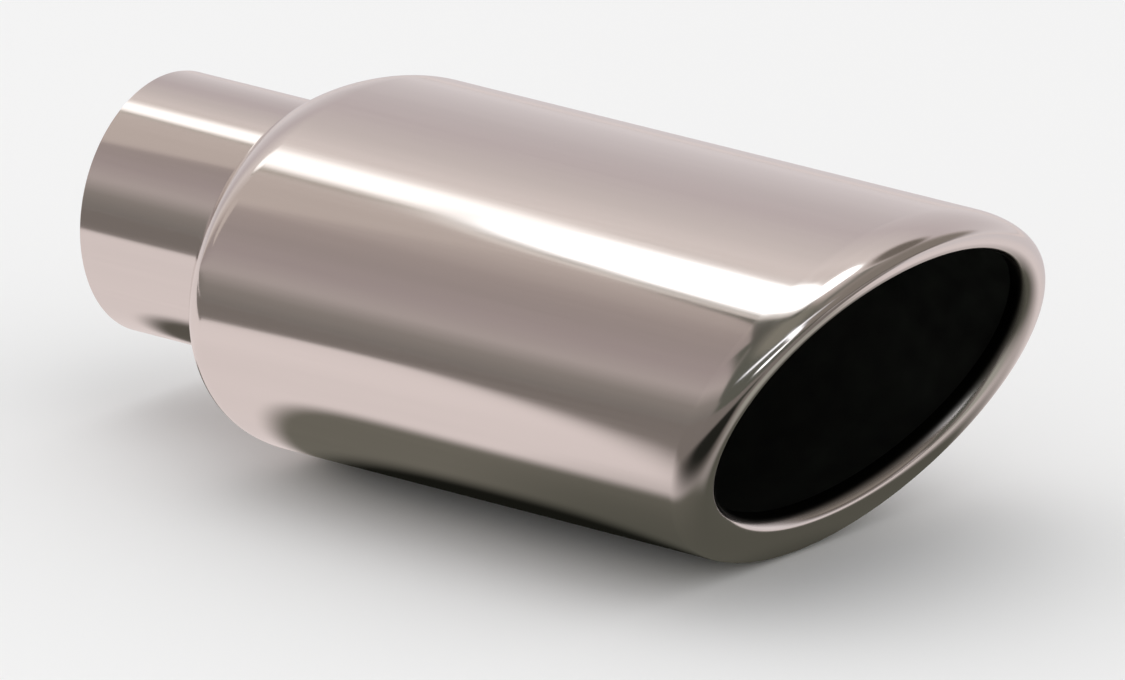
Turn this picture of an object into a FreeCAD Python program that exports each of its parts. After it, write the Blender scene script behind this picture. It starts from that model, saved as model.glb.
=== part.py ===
"""Slash-cut oval exhaust tip with a rolled lip, in millimetres.

Frame: +X runs along the gas path towards the outlet, +Z is up, and the origin is the
centre of the inlet end of the bore. Every driving size is a cell of the Sizes sheet.

Pieces: outer_shell, one sheet formed into the domed shoulder, the oval tube and the
rolled lip; inlet_tube, the round tube that slips over the tailpipe; weld_bead, the
fillet weld inside the shell that joins the two.
"""

import FreeCAD, Part
import math
import os
import Sketcher

# Driving sizes: name, value in millimetres or degrees, meaning
SIZES = [
    ("bore_diameter", 58.0, "inlet bore, slips over a 57.15 mm tailpipe"),
    ("tube_wall", 1.6, "wall of the inlet tube"),
    ("neck_length", 41.9, "inlet tube outside the shell"),
    ("tube_insert", 6.0, "inlet tube inside the shell"),
    ("end_chamfer", 0.4, "broken outer edge at the inlet end"),
    ("overall_length", 228.6, "inlet end to the foremost point of the lip"),
    ("body_width", 120.2, "oval shell across"),
    ("body_height", 85.3, "oval shell high"),
    ("body_drop", 2.7, "axis of the oval below the axis of the bore"),
    ("shell_wall", 1.2, "sheet of the shell"),
    ("shoulder_length", 20.2, "dome from the round neck to the full oval"),
    ("shoulder_fullness", 1.95, "power of the dome curve, higher is blunter"),
    ("slash_angle", 26.1, "lean of the mouth from square, top foremost"),
    ("lip_top_lead", 14.0, "length of the lip's outer rounding along the tube, at the top"),
    ("lip_low_lead", 3.0, "the same at the bottom"),
    ("lip_side_width", 9.2, "lip at its sides, in the plane of the mouth"),
    ("lip_end_width", 10.9, "lip at its top and bottom, in the plane of the mouth"),
    ("lip_land", 0.3, "flat between the outer rounding and the inner"),
    ("lip_edge_radius", 4.0, "rounding from the lip into the opening"),
    ("lip_depth", 6.0, "how far the rolled edge turns back into the mouth"),
    ("weld_leg", 2.5, "leg of the weld along the inlet tube"),
]

SIZE_OF = {alias: value for alias, value, meaning in SIZES}

# Ruled bands of the shoulder, the lip and the edge of the opening, on each side of the sheet
OUTER_COUNTS = {"shoulder_count": 7, "lip_count": 6, "edge_count": 4}
INNER_COUNTS = {"shoulder_count": 4, "lip_count": 3, "edge_count": 2}

# Turn of the shoulder's curve that its bands share evenly, in degrees
SHOULDER_TURN = 63.0

# The inner face of the slanted shoulder meets the tube this many sheets behind the outer
SEAT_FACTOR = 1.25

# Faces and edges this near to a plane lie in it
FLUSH = 0.001

# Sizes that follow from the driving ones, as expressions of the sheet
NECK_RADIUS = "(Sizes.bore_diameter / 2 + Sizes.tube_wall)"
HALF_WIDTH = "(Sizes.body_width / 2)"
HALF_HEIGHT = "(Sizes.body_height / 2)"
SHOULDER_END = "(Sizes.neck_length + Sizes.shoulder_length)"
SLASH = "(Sizes.slash_angle * 1deg)"
END_REACH = "(Sizes.lip_end_width - Sizes.lip_edge_radius - Sizes.lip_land)"
SIDE_REACH = "(Sizes.lip_side_width - Sizes.lip_edge_radius - Sizes.lip_land)"
FOREMOST = (
    f"({END_REACH} * sin{SLASH} + Sizes.lip_top_lead"
    f" - sqrt(({END_REACH} * sin{SLASH}) ^ 2 + Sizes.lip_top_lead ^ 2))"
)
MOUTH_X = f"(Sizes.overall_length - {HALF_HEIGHT} * tan{SLASH} + {FOREMOST})"
WELD_END = "(Sizes.neck_length + 2 * Sizes.shell_wall + Sizes.weld_leg)"

document = FreeCAD.newDocument("exhaust_tip")


def fill_sheet():
    """Write the driving sizes into the Sizes sheet, one alias a row."""
    sheet = document.addObject("Spreadsheet::Sheet", "Sizes")
    for row, (alias, value, meaning) in enumerate(SIZES, start=1):
        sheet.set(f"A{row}", alias)
        sheet.set(f"B{row}", str(value))
        sheet.set(f"C{row}", meaning)
        sheet.setAlias(f"B{row}", alias)
    document.recompute()


def new_body(name):
    """Add an empty body with a label of its own."""
    body = document.addObject("PartDesign::Body", name)
    body.Label = name
    return body


def origin_feature(body, role):
    """Return one of the body's own origin planes or axes."""
    for feature in body.Origin.OriginFeatures:
        if feature.Role == role:
            return feature
    raise RuntimeError(f"{body.Label} has no {role}")


def sketch_on(body, support, name, along="0", up="0"):
    """Add a sketch to a plane, moved along its normal and up by sheet expressions."""
    sketch = body.newObject("Sketcher::SketchObject", name)
    sketch.AttachmentSupport = [(support, "")]
    sketch.MapMode = "FlatFace"
    sketch.setExpression("AttachmentOffset.Base.z", along)
    sketch.setExpression("AttachmentOffset.Base.y", up)
    return sketch


def drive(sketch, name, constraint, expression):
    """Add a named dimension to a sketch and bind it to the sheet."""
    index = sketch.addConstraint(constraint)
    sketch.renameConstraint(index, name)
    sketch.setExpression(f"Constraints.{name}", expression)


def add_circle(sketch, name, radius, first_radius=30.0):
    """Draw a circle about the sketch's origin with a driven radius."""
    centre = FreeCAD.Vector(0, 0, 0)
    normal = FreeCAD.Vector(0, 0, 1)
    circle = sketch.addGeometry(Part.Circle(centre, normal, first_radius))
    sketch.addConstraint(Sketcher.Constraint("Coincident", circle, 3, -1, 1))
    drive(sketch, name, Sketcher.Constraint("Radius", circle, first_radius), radius)


def add_oval(sketch, half_width, half_height, first_width=60.0, first_height=40.0):
    """Draw an ellipse about the sketch's origin, its long axis level, with driven axes."""
    side = FreeCAD.Vector(first_width, 0, 0)
    top = FreeCAD.Vector(0, first_height, 0)
    oval = sketch.addGeometry(Part.Ellipse(side, top, FreeCAD.Vector(0, 0, 0)))
    sketch.exposeInternalGeometry(oval)
    long_axis = oval + 1
    short_axis = oval + 2
    sketch.addConstraint(Sketcher.Constraint("Coincident", oval, 3, -1, 1))
    sketch.addConstraint(Sketcher.Constraint("Horizontal", long_axis))
    across = Sketcher.Constraint("Distance", long_axis, 2 * first_width)
    high = Sketcher.Constraint("Distance", short_axis, 2 * first_height)
    drive(sketch, "across", across, f"2 * {half_width}")
    drive(sketch, "high", high, f"2 * {half_height}")


def dome(share, start, end):
    """Return the expression of the dome curve from start to end, at a share of its length."""
    return f"({start} + ({end} - {start}) * (1 - (1 - {share}) ^ Sizes.shoulder_fullness))"


def dome_slope(share, start, end):
    """Return the expression of the slope of that curve."""
    fall = f"(1 - {share}) ^ (Sizes.shoulder_fullness - 1)"
    return f"(({end} - {start}) * Sizes.shoulder_fullness * {fall} / Sizes.shoulder_length)"


def sheet_face(share, end, inset):
    """Return the half size of a shoulder section, on the outer face or a sheet inside it."""
    slope = dome_slope(share, NECK_RADIUS, end)
    return f"({dome(share, NECK_RADIUS, end)} - {inset} * sqrt(1 + {slope} ^ 2))"


def shoulder_stations(bands):
    """Return the shares of the shoulder's length at which its bands meet."""
    turn = math.radians(SHOULDER_TURN)
    steps = [1 - number / bands for number in range(bands + 1)]
    return [1 - math.tan(turn * step) / math.tan(turn) for step in steps]


def add_shoulder(body, plane, bands, inset):
    """Loft the dome from the circle at the tube through ovals to the full oval."""
    seat = f"({inset} * {SEAT_FACTOR} / Sizes.shoulder_length)"
    sections = []
    for number, station in enumerate(shoulder_stations(bands)):
        share = f"({seat} + (1 - {seat}) * {station})"
        along = f"Sizes.neck_length + Sizes.shoulder_length * {share}"
        name = f"{body.Name}_section_{number}"
        if number == 0:
            sketch = sketch_on(body, plane, name, along)
            add_circle(sketch, "radius", NECK_RADIUS)
        else:
            sketch = sketch_on(body, plane, name, along, dome(share, "0", "-Sizes.body_drop"))
            half_width = sheet_face(share, HALF_WIDTH, inset)
            half_height = sheet_face(share, HALF_HEIGHT, inset)
            add_oval(sketch, half_width, half_height)
        sections.append(sketch)
    document.recompute()
    loft = body.newObject("PartDesign::AdditiveLoft", f"{body.Name}_shoulder")
    loft.Profile = sections[0]
    loft.Sections = sections[1:]
    loft.Ruled = True
    document.recompute()


def add_ring(body, plane, name, centre_x, centre_z, lean, half_width, half_height):
    """Add a sketch of an oval ring on a plane that leans about the level cross axis."""
    sketch = sketch_on(body, plane, name, centre_x, centre_z)
    across = FreeCAD.Vector(1, 0, 0)
    turned = FreeCAD.Rotation(across, SIZE_OF["slash_angle"])
    sketch.AttachmentOffset = FreeCAD.Placement(sketch.AttachmentOffset.Base, turned)
    sketch.setExpression("AttachmentOffset.Rotation.Angle", lean)
    add_oval(sketch, half_width, half_height)
    return sketch


def lip_point(share, side, inset):
    """Return x and z of the lip's rounding at the top (side 1) or bottom (side -1)."""
    lead = "Sizes.lip_top_lead" if side == 1 else "Sizes.lip_low_lead"
    reach = f"(({END_REACH} - {inset}) * (1 - sin({share} * 90deg)))"
    behind = f"(({lead} - {inset}) * (1 - cos({share} * 90deg)))"
    corner_z = f"({side} * ({HALF_HEIGHT} - {inset}))"
    corner_x = f"({MOUTH_X} - {inset} / cos{SLASH} + {corner_z} * tan{SLASH})"
    point_x = f"({corner_x} - {side} * {reach} * sin{SLASH} - {behind})"
    point_z = f"({corner_z} - {side} * {reach} * cos{SLASH})"
    return point_x, point_z


def add_lip_ring(body, plane, number, bands, inset):
    """Add one ring of the lip's rounding, from the front face (0) to the wall."""
    share = f"({number} / {bands})"
    top_x, top_z = lip_point(share, 1, inset)
    low_x, low_z = lip_point(share, -1, inset)
    centre_x = f"(({top_x} + {low_x}) / 2)"
    centre_z = f"(({top_z} + {low_z}) / 2 - Sizes.body_drop)"
    lean = f"atan(({top_x} - {low_x}) / ({top_z} - {low_z}))"
    side_inset = f"({SIDE_REACH} - {inset}) * (1 - sin({share} * 90deg))"
    half_width = f"({HALF_WIDTH} - {inset} - {side_inset})"
    half_height = f"(sqrt(({top_x} - {low_x}) ^ 2 + ({top_z} - {low_z}) ^ 2) / 2)"
    name = f"{body.Name}_lip_{number}"
    return add_ring(body, plane, name, centre_x, centre_z, lean, half_width, half_height)


def add_tube_and_lip(body, plane, bands, inset):
    """Loft the oval tube from the shoulder to the lip and round the lip in ruled bands."""
    start = sketch_on(body, plane, f"{body.Name}_oval", SHOULDER_END, "-Sizes.body_drop")
    add_oval(start, f"({HALF_WIDTH} - {inset})", f"({HALF_HEIGHT} - {inset})")
    rings = [add_lip_ring(body, plane, number, bands, inset) for number in range(bands, -1, -1)]
    document.recompute()
    loft = body.newObject("PartDesign::AdditiveLoft", f"{body.Name}_tube_and_lip")
    loft.Profile = start
    loft.Sections = rings
    loft.Ruled = True
    document.recompute()


def add_opening_ring(body, plane, name, depth, outset, inset):
    """Add a ring of the opening, parallel to the mouth and a depth behind its front face."""
    back = f"({inset} + {depth})"
    centre_x = f"({MOUTH_X} - {back} * cos{SLASH})"
    centre_z = f"({back} * sin{SLASH} - Sizes.body_drop)"
    half_width = f"({HALF_WIDTH} - Sizes.lip_side_width + {inset} + {outset})"
    half_height = f"({HALF_HEIGHT} / cos{SLASH} - Sizes.lip_end_width + {inset} + {outset})"
    return add_ring(body, plane, name, centre_x, centre_z, SLASH, half_width, half_height)


def cut_opening(body, plane, bands, inset):
    """Sink the opening by the depth of the rolled edge, its rim rounded in ruled bands."""
    radius = f"(Sizes.lip_edge_radius - {inset})"
    depth = f"(Sizes.lip_depth - {inset})"
    floor = add_opening_ring(body, plane, f"{body.Name}_opening_floor", depth, "0", inset)
    rings = []
    for number in range(bands, -1, -1):
        turn = f"({number} / {bands} * 90deg)"
        depth = f"({radius} * (1 - cos{turn}))"
        outset = f"({radius} * (1 - sin{turn}))"
        name = f"{body.Name}_opening_{number}"
        rings.append(add_opening_ring(body, plane, name, depth, outset, inset))
    document.recompute()
    opening = body.newObject("PartDesign::SubtractiveLoft", f"{body.Name}_opening")
    opening.Profile = floor
    opening.Sections = rings
    opening.Ruled = True
    document.recompute()


def make_form(name, counts, inset):
    """Build the solid form of the shell, or of the space a sheet inside it."""
    body = new_body(name)
    plane = origin_feature(body, "YZ_Plane")
    add_shoulder(body, plane, counts["shoulder_count"], inset)
    add_tube_and_lip(body, plane, counts["lip_count"], inset)
    cut_opening(body, plane, counts["edge_count"], inset)
    return body


def make_outer_shell(outside, inside):
    """Leave one sheet between the two forms, with a hole where the tube enters."""
    sheet = document.addObject("Part::Cut", "formed_sheet")
    sheet.Base = outside
    sheet.Tool = inside
    hole = document.addObject("Part::Cylinder", "tube_hole")
    hole.setExpression("Radius", NECK_RADIUS)
    hole.setExpression("Height", "Sizes.shoulder_length")
    hole.setExpression("Placement.Base.x", "Sizes.neck_length")
    hole.Placement.Rotation = FreeCAD.Rotation(FreeCAD.Vector(0, 1, 0), 90)
    shell = document.addObject("Part::Cut", "outer_shell")
    shell.Base = sheet
    shell.Tool = hole
    return shell


def make_inlet_tube():
    """Pad the round tube from the inlet end into the shell and break its outer inlet edge."""
    body = new_body("inlet_tube")
    plane = origin_feature(body, "YZ_Plane")
    outline = sketch_on(body, plane, "tube_outline")
    add_circle(outline, "bore", "Sizes.bore_diameter / 2")
    add_circle(outline, "outside", NECK_RADIUS, 40.0)
    document.recompute()
    pad = body.newObject("PartDesign::Pad", "tube")
    pad.Profile = outline
    pad.setExpression("Length", "Sizes.neck_length + Sizes.tube_insert")
    document.recompute()
    rims = []
    for number, edge in enumerate(pad.Shape.Edges, start=1):
        if edge.isClosed() and abs(edge.CenterOfMass.x) < FLUSH:
            rims.append((edge.Length, f"Edge{number}"))
    outer_rim = max(rims)[1]
    chamfer = body.newObject("PartDesign::Chamfer", "inlet_chamfer")
    chamfer.Base = (pad, [outer_rim])
    chamfer.setExpression("Size", "Sizes.end_chamfer")
    document.recompute()
    return body


def make_weld_bead(inside):
    """Turn the weld's ring about the tube and keep what lies inside the shell."""
    body = new_body("weld_ring")
    outline = sketch_on(body, origin_feature(body, "XZ_Plane"), "weld_outline")
    start = FreeCAD.Vector(40, 30, 0)
    end = FreeCAD.Vector(45, 30, 0)
    crown = FreeCAD.Vector(40, 35, 0)
    seat = outline.addGeometry(Part.LineSegment(start, end))
    face = outline.addGeometry(Part.LineSegment(end, crown))
    back = outline.addGeometry(Part.LineSegment(crown, start))
    outline.addConstraint(Sketcher.Constraint("Coincident", seat, 2, face, 1))
    outline.addConstraint(Sketcher.Constraint("Coincident", face, 2, back, 1))
    outline.addConstraint(Sketcher.Constraint("Coincident", back, 2, seat, 1))
    outline.addConstraint(Sketcher.Constraint("Horizontal", seat))
    outline.addConstraint(Sketcher.Constraint("Vertical", back))
    outline.addConstraint(Sketcher.Constraint("Equal", seat, back))
    drive(outline, "radius", Sketcher.Constraint("DistanceY", -1, 1, seat, 1, 30.0), NECK_RADIUS)
    near = Sketcher.Constraint("DistanceX", -1, 1, seat, 1, 40.0)
    drive(outline, "near", near, "Sizes.neck_length")
    far = Sketcher.Constraint("DistanceX", -1, 1, seat, 2, 45.0)
    drive(outline, "far", far, WELD_END)
    document.recompute()
    ring = body.newObject("PartDesign::Revolution", "weld_revolution")
    ring.Profile = outline
    ring.ReferenceAxis = (origin_feature(body, "X_Axis"), [""])
    ring.Angle = 360.0
    document.recompute()
    bead = document.addObject("Part::Common", "weld_bead")
    bead.Base = body
    bead.Tool = inside
    return bead


def check_document(nodes):
    """Stop if any feature has failed or any node's shape is unsound."""
    for feature in document.Objects:
        if "Invalid" in feature.State or "Error" in feature.State:
            raise RuntimeError(f"{feature.Label} failed: {feature.State}")
    for node in nodes:
        if node.Shape.isNull() or not node.Shape.isValid():
            raise RuntimeError(f"{node.Label} has no valid shape")
        if len(node.Shape.Solids) != 1:
            raise RuntimeError(f"{node.Label} has {len(node.Shape.Solids)} solids")


def export_nodes(nodes):
    """Write each node to its own file and print what it measures."""
    os.makedirs("parts", exist_ok=True)
    for node in nodes:
        node.Shape.exportStep(f"parts/{node.Label}.step")
        box = node.Shape.optimalBoundingBox(False, False)
        corners = [round(value, 2) for value in (box.XMin, box.YMin, box.ZMin)]
        corners += [round(value, 2) for value in (box.XMax, box.YMax, box.ZMax)]
        print(node.Label, "volume", round(node.Shape.Volume, 1), "box", corners)


fill_sheet()
outer_form = make_form("outer_form", OUTER_COUNTS, "0")
inner_form = make_form("inner_form", INNER_COUNTS, "Sizes.shell_wall")
outer_shell = make_outer_shell(outer_form, inner_form)
inlet_tube = make_inlet_tube()
weld_bead = make_weld_bead(inner_form)
document.recompute()
node_list = [outer_shell, inlet_tube, weld_bead]
check_document(node_list)
export_nodes(node_list)
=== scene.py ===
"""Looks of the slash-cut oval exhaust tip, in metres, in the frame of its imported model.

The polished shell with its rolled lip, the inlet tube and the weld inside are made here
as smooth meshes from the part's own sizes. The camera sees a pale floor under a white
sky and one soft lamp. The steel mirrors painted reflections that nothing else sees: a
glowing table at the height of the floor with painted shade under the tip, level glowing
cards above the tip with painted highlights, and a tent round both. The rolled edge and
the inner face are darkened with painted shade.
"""

import logging
import math
from dataclasses import dataclass, replace
from enum import Enum
from functools import partialmethod, reduce
from typing import NamedTuple, Union

import bpy
from bpy.types import Material, Node, NodeSocket, NodeTree, Object
from mathutils import Matrix, Vector


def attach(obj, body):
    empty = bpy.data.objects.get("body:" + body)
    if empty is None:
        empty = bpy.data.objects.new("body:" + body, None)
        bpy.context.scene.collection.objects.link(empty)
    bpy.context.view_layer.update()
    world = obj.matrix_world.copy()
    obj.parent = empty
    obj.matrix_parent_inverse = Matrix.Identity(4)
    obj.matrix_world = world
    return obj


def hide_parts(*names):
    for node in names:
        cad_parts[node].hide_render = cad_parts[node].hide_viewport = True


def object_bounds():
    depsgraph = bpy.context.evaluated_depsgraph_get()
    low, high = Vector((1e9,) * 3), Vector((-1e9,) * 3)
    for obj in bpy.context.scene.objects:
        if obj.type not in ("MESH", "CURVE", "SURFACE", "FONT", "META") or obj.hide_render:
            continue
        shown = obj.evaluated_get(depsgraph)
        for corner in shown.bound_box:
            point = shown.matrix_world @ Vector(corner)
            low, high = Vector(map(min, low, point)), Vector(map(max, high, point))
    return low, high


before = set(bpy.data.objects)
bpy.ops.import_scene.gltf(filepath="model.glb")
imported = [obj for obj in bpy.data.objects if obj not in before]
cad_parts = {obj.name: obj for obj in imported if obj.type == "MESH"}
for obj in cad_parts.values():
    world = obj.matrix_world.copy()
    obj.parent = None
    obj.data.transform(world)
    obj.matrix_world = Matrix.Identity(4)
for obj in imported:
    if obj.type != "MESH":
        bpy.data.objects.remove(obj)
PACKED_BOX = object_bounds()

LOG = logging.getLogger("exhaust_tip")
FLOOR_HEIGHT = PACKED_BOX[0][2]
FULL_TURN = 2.0 * math.pi
QUARTER_TURN = 0.5 * math.pi
UV_MAP = "UVMap"

Colour = tuple[float, float, float]
Source = Union["Formula", NodeSocket, bpy.types.ID, Colour, float, str]


class Slot(Enum):
    """Material slots."""

    POLISHED = "polished_steel"
    WELD = "weld_metal"


def feed(socket: NodeSocket, source: Source) -> None:
    """Link an input to a formula or a socket, or set it to a fixed value.

    Args:
        socket: the input.
        source: what it takes. A colour is given by three numbers.
    """
    source = getattr(source, "socket", source)
    if isinstance(source, NodeSocket):
        socket.id_data.links.new(source, socket)
    else:
        socket.default_value = (*source, 1.0) if socket.type == "RGBA" else source


def feed_all(node: Node, inputs: dict[str | int, Source]) -> None:
    """Link or set several inputs of a node, by name or number."""
    for key, source in inputs.items():
        feed(node.inputs[key], source)


def add_node(
    tree: NodeTree,
    kind: str,
    inputs: dict[str | int, Source] | None = None,
    **settings: object,
) -> Node:
    """Add a node to a tree.

    Args:
        tree: the tree.
        kind: the node's type.
        inputs: what its inputs take, by name or number.
        settings: its properties, set before its inputs.

    Returns:
        The node.
    """
    node = tree.nodes.new(kind)
    for name, value in settings.items():
        setattr(node, name, value)
    feed_all(node, inputs or {})
    return node


def chain(geometry: NodeSocket, *steps: tuple[str, dict[str, Source]]) -> NodeSocket:
    """Pass a geometry through one node after another.

    Args:
        geometry: the output that carries it.
        steps: each node's type and its further inputs.

    Returns:
        The last node's geometry.
    """
    for kind, inputs in steps:
        node = add_node(geometry.id_data, kind, {"Geometry": geometry, **inputs})
        geometry = node.outputs["Geometry"]
    return geometry


class Formula:
    """A value in a node tree that plain arithmetic builds on, one Math node a step."""

    def __init__(self, socket: NodeSocket) -> None:
        """Hold the output that carries the value."""
        self.socket = socket

    def step(self, operation: str, *others: "Formula | float") -> "Formula":
        """Add one Math node.

        Args:
            operation: the node's operation.
            others: its further inputs, as formulas or numbers.

        Returns:
            The node's value.
        """
        inputs = dict(enumerate((self, *others)))
        node = add_node(self.socket.id_data, "ShaderNodeMath", inputs, operation=operation)
        return Formula(node.outputs[0])

    __add__ = __radd__ = partialmethod(step, "ADD")
    __sub__ = partialmethod(step, "SUBTRACT")
    __mul__ = partialmethod(step, "MULTIPLY")
    __truediv__ = partialmethod(step, "DIVIDE")
    __pow__ = partialmethod(step, "POWER")
    sine = partialmethod(step, "SINE")
    cosine = partialmethod(step, "COSINE")
    root = partialmethod(step, "SQRT")
    magnitude = partialmethod(step, "ABSOLUTE")

    def __rsub__(self, other: float) -> "Formula":
        """Return a number less this value."""
        return self * -1.0 + other

    def held(self) -> "Formula":
        """Return the value held between 0 and 1."""
        return self.step("MAXIMUM", 0.0).step("MINIMUM", 1.0)

    def eased(self) -> "Formula":
        """Return the value held between 0 and 1, with eased ends."""
        held = self.held()
        return held * held * (3.0 - held * 2.0)

    def blend(self, end: "Formula | float", share: "Formula") -> "Formula":
        """Return the value that lies a share of the way to another."""
        return self + share * (end - self)


def parts_of(vector: NodeSocket) -> tuple[Formula, Formula, Formula]:
    """Return the three parts of a vector."""
    node = add_node(vector.id_data, "ShaderNodeSeparateXYZ", {0: vector})
    return Formula(node.outputs[0]), Formula(node.outputs[1]), Formula(node.outputs[2])


def new_group(
    name: str, kind: str, inputs: dict[str, str], outputs: dict[str, str]
) -> tuple[NodeTree, dict[str, str]]:
    """Make a node group.

    Args:
        name: its name.
        kind: the type of its tree.
        inputs: the type of each named input.
        outputs: the type of each named output.

    Returns:
        The group, and the identifier of each input.
    """
    group = bpy.data.node_groups.new(name, kind)
    identifiers = {}
    for label, socket_type in inputs.items():
        socket = group.interface.new_socket(
            name=label, in_out="INPUT", socket_type=socket_type
        )
        identifiers[label] = socket.identifier
    for label, socket_type in outputs.items():
        group.interface.new_socket(name=label, in_out="OUTPUT", socket_type=socket_type)
    return group, identifiers


class Ring(NamedTuple):
    """An oval ring, level across, that may lean along the tip."""

    centre_x: Formula
    centre_z: Formula
    lean_x: Formula
    lean_z: Formula
    half_width: Formula

    def toward(self, end: "Ring", share: Formula) -> "Ring":
        """Return the ring that lies a share of the way to another."""
        return Ring(*(near.blend(far, share) for near, far in zip(self, end)))


class SweepTree:
    """A Geometry Nodes tree that joins bands of rings into one closed skin."""

    seam: float = 2e-6

    def __init__(self, name: str, sizes: dict[str, float], segments: int) -> None:
        """Make the tree with a named input for each size.

        Args:
            name: the tree's name.
            sizes: input names and values.
            segments: faces around each ring.
        """
        self.tree, self.identifiers = new_group(
            name,
            "GeometryNodeTree",
            {key: "NodeSocketFloat" for key in sizes},
            {"Geometry": "NodeSocketGeometry"},
        )
        self.sizes = sizes
        self.segments = segments
        self.bands: list[NodeSocket] = []
        self.inputs = add_node(self.tree, "NodeGroupInput")
        position = add_node(self.tree, "GeometryNodeInputPosition")
        across, up, _ = parts_of(position.outputs[0])
        self.round, self.along = across + 0.5, up + 0.5
        turn = self.round * FULL_TURN
        self.cosine, self.sine = turn.cosine(), turn.sine()

    def size(self, key: str) -> Formula:
        """Return a named input as a formula."""
        return Formula(self.inputs.outputs[key])

    def number(self, value: float) -> Formula:
        """Return a fixed number as a formula."""
        node = add_node(self.tree, "ShaderNodeValue")
        node.outputs[0].default_value = value
        return Formula(node.outputs[0])

    def circle(self, x: Formula, radius: Formula) -> Ring:
        """Return an upright round ring about the bore's axis."""
        level = self.number(0.0)
        return Ring(x, level, level, radius, radius)

    def combine(self, *parts: Formula | float) -> NodeSocket:
        """Return the vector of three values."""
        node = add_node(self.tree, "ShaderNodeCombineXYZ", dict(enumerate(parts)))
        return node.outputs[0]

    def band(
        self,
        ring: Ring,
        rows: int,
        material: Material,
        brushed_round: bool = False,
    ) -> None:
        """Add one band of faces, its place given by a ring that depends on self.along.

        Args:
            ring: the ring at each share of the band.
            rows: faces along the band.
            material: the band's finish.
            brushed_round: run the polishing marks round the ring, not along it.
        """
        counts = {"Vertices X": self.segments + 1, "Vertices Y": rows + 1}
        grid = add_node(
            self.tree, "GeometryNodeMeshGrid", {"Size X": 1.0, "Size Y": 1.0, **counts}
        )
        around, lengthwise = self.round * (ring.half_width * FULL_TURN), ring.centre_x
        if brushed_round:
            around, lengthwise = lengthwise + ring.half_width, around
        chart = add_node(
            self.tree,
            "GeometryNodeStoreNamedAttribute",
            {"Name": UV_MAP, "Geometry": grid.outputs["Mesh"]},
            data_type="FLOAT2",
            domain="CORNER",
        )
        chart_value = next(s for s in chart.inputs if s.name == "Value" and s.enabled)
        feed(chart_value, self.combine(around, lengthwise, 0.0))
        point = self.combine(
            ring.centre_x + ring.lean_x * self.sine,
            ring.half_width * self.cosine,
            ring.centre_z + ring.lean_z * self.sine,
        )
        finished = chain(
            chart.outputs["Geometry"],
            ("GeometryNodeSetPosition", {"Position": point}),
            ("GeometryNodeSetMaterial", {"Material": material}),
        )
        self.bands.append(finished)

    def skin(self, name: str, crease: float) -> Object:
        """Join the bands, weld their seams and keep the result.

        Args:
            name: the new object's name.
            crease: edges that turn by more than this angle stay sharp.

        Returns:
            The new object.
        """
        join = add_node(self.tree, "GeometryNodeJoinGeometry")
        for band in reversed(self.bands):
            feed(join.inputs["Geometry"], band)
        whole = chain(
            join.outputs["Geometry"],
            ("GeometryNodeMergeByDistance", {"Distance": self.seam}),
            ("GeometryNodeSetShadeSmooth", {}),
            ("GeometryNodeRealizeInstances", {}),
        )
        add_node(self.tree, "NodeGroupOutput", {"Geometry": whole})
        values = {self.identifiers[key]: value for key, value in self.sizes.items()}
        return mesh_from_tree(name, self.tree, values, crease)


def mesh_from_tree(
    name: str, tree: NodeTree, values: dict[str, float], crease: float
) -> Object:
    """Run a Geometry Nodes tree once and keep its result as a plain mesh.

    Args:
        name: the new object's name.
        tree: the tree to run.
        values: modifier inputs by socket identifier.
        crease: edges that turn by more than this angle stay sharp.

    Returns:
        The new object, with no modifier left on it.
    """
    piece = bpy.data.objects.new(name, bpy.data.meshes.new(name))
    bpy.context.scene.collection.objects.link(piece)
    modifier = piece.modifiers.new("build", "NODES")
    modifier.node_group = tree
    for identifier, value in values.items():
        modifier[identifier] = value
    evaluated = piece.evaluated_get(bpy.context.evaluated_depsgraph_get())
    mesh = bpy.data.meshes.new_from_object(evaluated)
    mesh.name = name
    piece.modifiers.remove(modifier)
    piece.data = mesh
    mesh.set_sharp_from_angle(angle=crease)
    return piece


def report(piece: Object) -> None:
    """Log a finished piece and its number of faces."""
    LOG.info("%s: %d faces", piece.name, len(piece.data.polygons))


def new_material(name: str) -> tuple[Material, Node]:
    """Make a material with an empty Principled BSDF.

    Args:
        name: the material's name.

    Returns:
        The material and its shader node.
    """
    material = bpy.data.materials.new(name)
    material.use_nodes = True
    shader = next(n for n in material.node_tree.nodes if n.type == "BSDF_PRINCIPLED")
    return material, shader


def colour_mix(
    tree: NodeTree,
    share: Formula | float,
    first: Source,
    second: Source,
    blend: str = "MIX",
) -> NodeSocket:
    """Mix two colours.

    Args:
        tree: the shader tree.
        share: share of the second colour.
        first: the first colour, as a socket or numbers.
        second: the second colour, the same.
        blend: how they mix.

    Returns:
        The mixed colour.
    """
    mix = add_node(
        tree, "ShaderNodeMix", {"Factor": share}, data_type="RGBA", blend_type=blend
    )
    colours = [socket for socket in mix.inputs if socket.type == "RGBA"]
    for socket, colour in zip(colours, (first, second)):
        feed(socket, colour)
    return next(socket for socket in mix.outputs if socket.type == "RGBA")


def colour_ramp(
    place: Formula, stops: tuple[tuple[float, Colour], ...]
) -> NodeSocket:
    """Return the colour of a ramp.

    Args:
        place: where on the ramp.
        stops: its places, in order, and their colours.

    Returns:
        The colour.
    """
    ramp = add_node(place.socket.id_data, "ShaderNodeValToRGB", {0: place})
    elements = ramp.color_ramp.elements
    elements.remove(elements[1])
    for index, (position, colour) in enumerate(stops):
        element = elements.new(position) if index else elements[0]
        element.position = position
        element.color = (*colour, 1.0)
    return ramp.outputs["Color"]


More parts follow.
